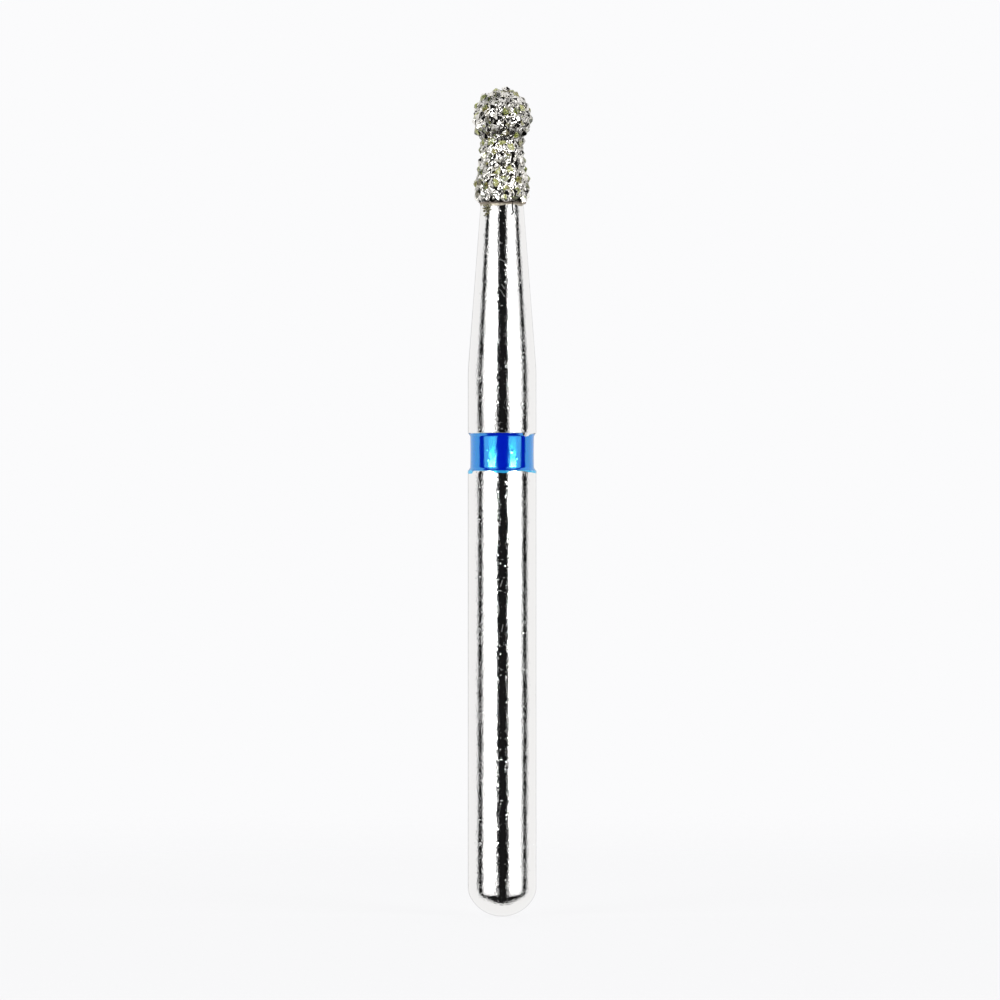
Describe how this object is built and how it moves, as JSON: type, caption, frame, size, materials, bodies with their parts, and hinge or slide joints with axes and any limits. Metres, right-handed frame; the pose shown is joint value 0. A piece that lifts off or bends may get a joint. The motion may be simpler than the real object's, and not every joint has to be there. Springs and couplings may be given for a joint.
{
  "type": "diamond dental bur",
  "caption": "Rotary dental grinding instrument: smooth round shank, slim tapered neck and a collared ball head coated with diamond crystals held in nickel, with a blue colour band.",
  "frame": {"origin": "tip of the domed tail, on the bur's axis", "axes": "+Z along the axis from the tail to the head, +X to the right and +Y away from the viewer as pictured"},
  "size_m": [0.0016, 0.0016, 0.0194],
  "materials": {
    "steel": "bright centreless-ground stainless steel with fine mottling",
    "nickel": "electroplated nickel, bright and slightly lumpy round the crystals",
    "diamond": "blocky yellow-green synthetic diamond crystals",
    "lacquer": "glossy blue lacquer with ragged edges and a few pits"
  },
  "bodies": {
    "root": {"steel_blank": "steel", "nickel_bond": "nickel", "diamond_grit": "diamond", "colour_band": "lacquer"}
  },
  "joints": []
}
